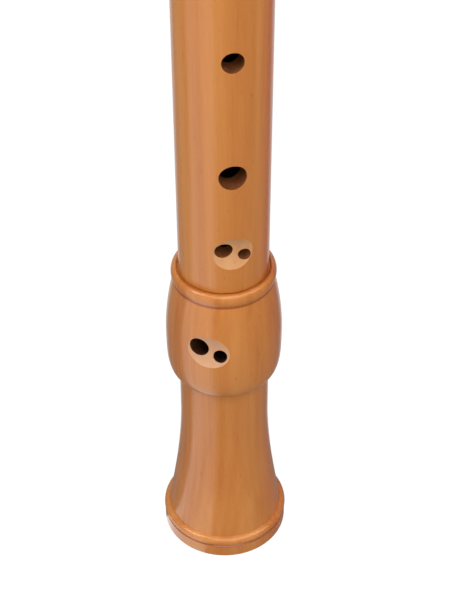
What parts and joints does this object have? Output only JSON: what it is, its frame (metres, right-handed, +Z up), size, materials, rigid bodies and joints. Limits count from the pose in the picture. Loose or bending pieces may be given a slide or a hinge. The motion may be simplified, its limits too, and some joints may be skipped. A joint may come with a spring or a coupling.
{
  "type": "alto recorder",
  "caption": "Wooden alto recorder: beaked head with block and windway, tapering middle with finger holes, flared foot with a double hole, joined by corked tenons.",
  "frame": {"origin": "centre of the foot joint's flat end face, on the axis of the bore", "axes": "+Z up the bore from the foot to the beak; -Y is the front, with the window and the finger holes; the thumb hole is at +Y; +X is to the right as seen from the front"},
  "size_m": [0.042, 0.042, 0.4948],
  "materials": {
    "pearwood": "oiled satin",
    "cedar": "bare",
    "cork": "greased, matte"
  },
  "bodies": {
    "foot": {"foot_joint": "pearwood"},
    "lower_lapping": {"lower_cork": "cork"},
    "middle": {"middle_joint": "pearwood"},
    "upper_lapping": {"upper_cork": "cork"},
    "head": {"head_joint": "pearwood"},
    "block": {"block": "cedar"}
  },
  "joints": [
    {"name": "foot_pull", "type": "slide", "parent": "foot", "child": "lower_lapping", "axis": [0, 0, 1], "range_m": [0, 0.02]},
    {"name": "foot_turn", "type": "hinge", "parent": "lower_lapping", "child": "middle", "pos_m": [0, 0, 0.106], "axis": [0, 0, 1], "continuous": true},
    {"name": "head_turn", "type": "hinge", "parent": "middle", "child": "upper_lapping", "pos_m": [0, 0, 0.343], "axis": [0, 0, 1], "continuous": true},
    {"name": "head_pull", "type": "slide", "parent": "upper_lapping", "child": "head", "axis": [0, 0, 1], "range_m": [0, 0.032]},
    {"name": "block_pull", "type": "slide", "parent": "head", "child": "block", "axis": [0, 0, 1], "range_m": [0, 0.065]}
  ]
}
